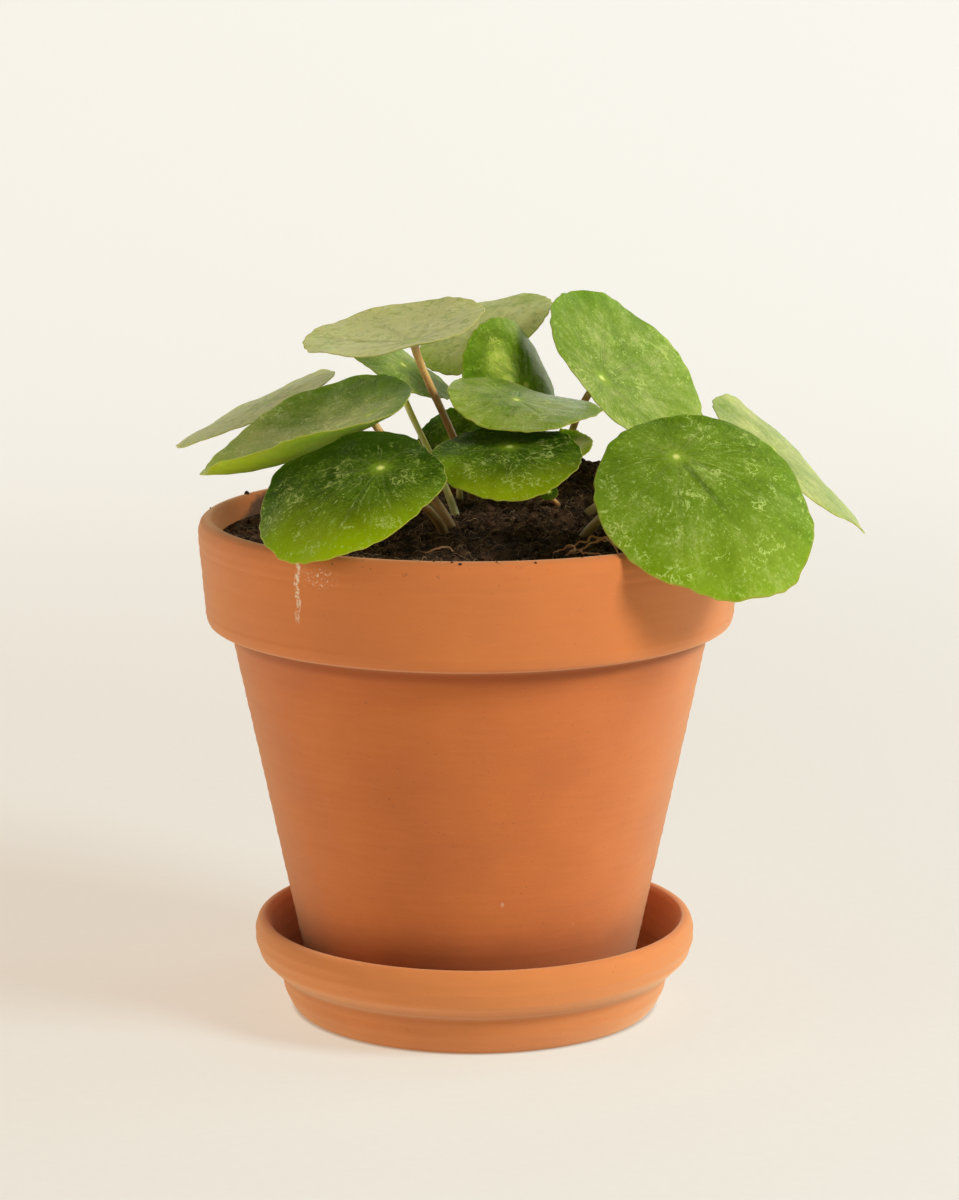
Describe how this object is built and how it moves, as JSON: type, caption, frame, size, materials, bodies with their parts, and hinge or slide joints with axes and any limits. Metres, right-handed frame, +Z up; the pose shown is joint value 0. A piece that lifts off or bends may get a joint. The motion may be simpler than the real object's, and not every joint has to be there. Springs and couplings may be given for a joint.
{
  "type": "potted pilea plant",
  "caption": "House plant with round, glossy, mottled leaves on long stalks, growing from heaped soil in a tapered clay pot with a collar that stands in a clay saucer.",
  "frame": {"origin": "centre of the saucer's flat underside, on the surface that it stands on", "axes": "+Z up, +Y away from the viewer of the picture, +X to the viewer's right"},
  "size_m": [0.1941, 0.1578, 0.1969],
  "materials": {
    "saucer_clay": "unglazed orange clay, matt, with faint turning lines",
    "pot_clay": "unglazed orange clay, matt, with damp and mineral marks",
    "soil": "dark crumbly potting soil with fine fibres",
    "leaf": "glossy green blade with silvery speckles and a pale margin",
    "stalk": "smooth, waxy, brown to yellow-green"
  },
  "bodies": {
    "root": {"saucer": "saucer_clay", "pot": "pot_clay", "soil": "soil", "leaf_front_right": "leaf", "stalk_front_right": "stalk", "leaf_front_left": "leaf", "stalk_front_left": "stalk", "leaf_centre": "leaf", "stalk_centre": "stalk", "leaf_left_cup": "leaf", "stalk_left_cup": "stalk", "leaf_far_left": "leaf", "stalk_far_left": "stalk", "leaf_top_left": "leaf", "stalk_top_left": "stalk", "leaf_shaded": "leaf", "stalk_shaded": "stalk", "leaf_top_back": "leaf", "stalk_top_back": "stalk", "leaf_young": "leaf", "stalk_young": "stalk", "leaf_middle": "leaf", "stalk_middle": "stalk", "leaf_top_right": "leaf", "stalk_top_right": "stalk", "leaf_far_right": "leaf", "stalk_far_right": "stalk", "leaf_low_back": "leaf", "stalk_low_back": "stalk", "leaf_small_cup": "leaf", "stalk_small_cup": "stalk", "leaf_sprout": "leaf", "stalk_sprout": "stalk"}
  },
  "joints": []
}
